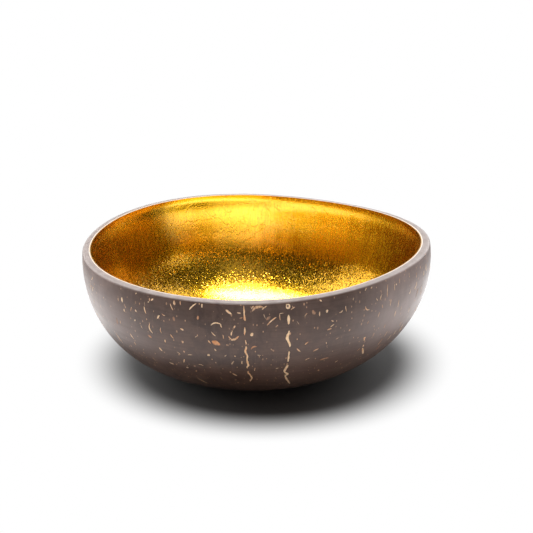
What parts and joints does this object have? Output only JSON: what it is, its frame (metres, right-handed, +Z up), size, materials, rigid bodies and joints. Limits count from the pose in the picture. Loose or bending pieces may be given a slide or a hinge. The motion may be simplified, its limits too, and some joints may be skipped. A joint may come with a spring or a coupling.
{
  "type": "coconut shell bowl",
  "caption": "Round bowl sawn from a coconut shell, sanded brown outside with pale fibre strands and flecks, lined with lacquered gold leaf, with a flat sanded base.",
  "frame": {"origin": "where the nut's own axis meets the flat sanded base, near the middle of the base", "axes": "+Z up out of the bowl's mouth, -Y towards the side with the two seams of strands, +X to that side's right"},
  "size_m": [0.135, 0.135, 0.0502],
  "materials": {
    "shell": "sanded and oiled coconut shell, satin",
    "ground": "pale ground coat, satin",
    "leaf": "finely crinkled gold-coloured leaf",
    "clear": "clear gloss lacquer",
    "strand": "sanded pale fibre, satin"
  },
  "bodies": {
    "root": {"shell": "shell", "ground_coat": "ground", "gold_leaf": "leaf", "clear_coat": "clear", "front_seam_left": "strand", "front_seam_right": "strand", "side_seam": "strand", "fibre_flecks": "strand"}
  },
  "joints": []
}
